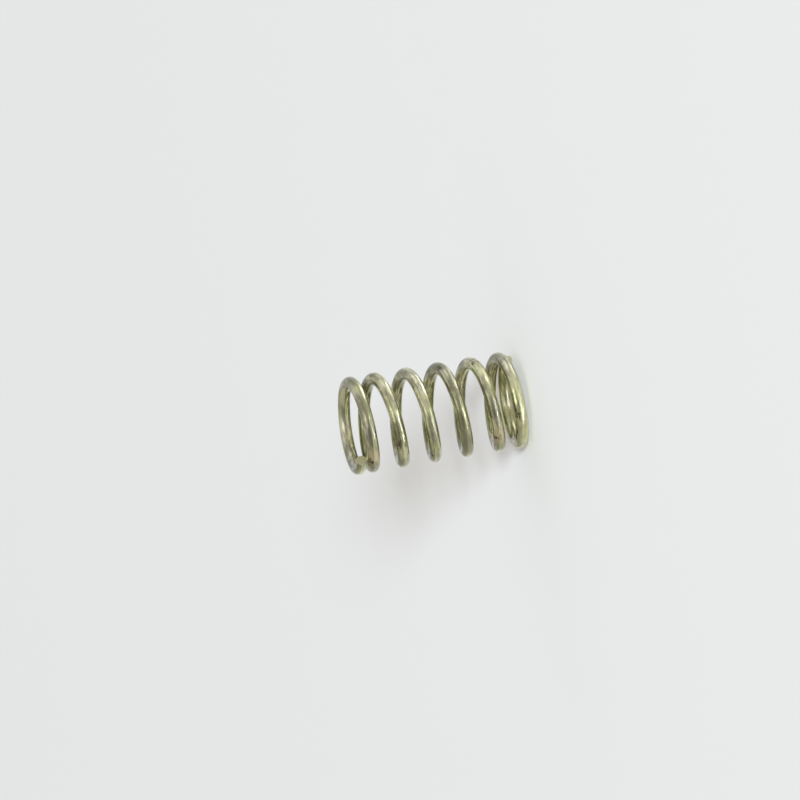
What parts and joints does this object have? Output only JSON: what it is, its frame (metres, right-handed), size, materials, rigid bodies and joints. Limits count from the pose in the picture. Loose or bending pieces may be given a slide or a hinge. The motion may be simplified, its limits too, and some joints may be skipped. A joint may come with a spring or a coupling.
{
  "type": "compression spring",
  "caption": "Helical compression spring of round yellow-plated steel wire, wound right-handed, with closed and unground ends; pushes two parts away from each other.",
  "frame": {"origin": "on the spring's axis, in the plane that the lower closed end stands on", "axes": "+Z along the spring's axis, from the lower end to the upper; -Y is the side that the picture shows, with its right end down"},
  "size_m": [0.0096, 0.0096, 0.0179],
  "materials": {
    "yellow_plated_wire": "drawn spring steel wire, yellow-chromated zinc plating, semi-bright"
  },
  "bodies": {
    "root": {"coil_spring": "yellow_plated_wire"}
  },
  "joints": []
}
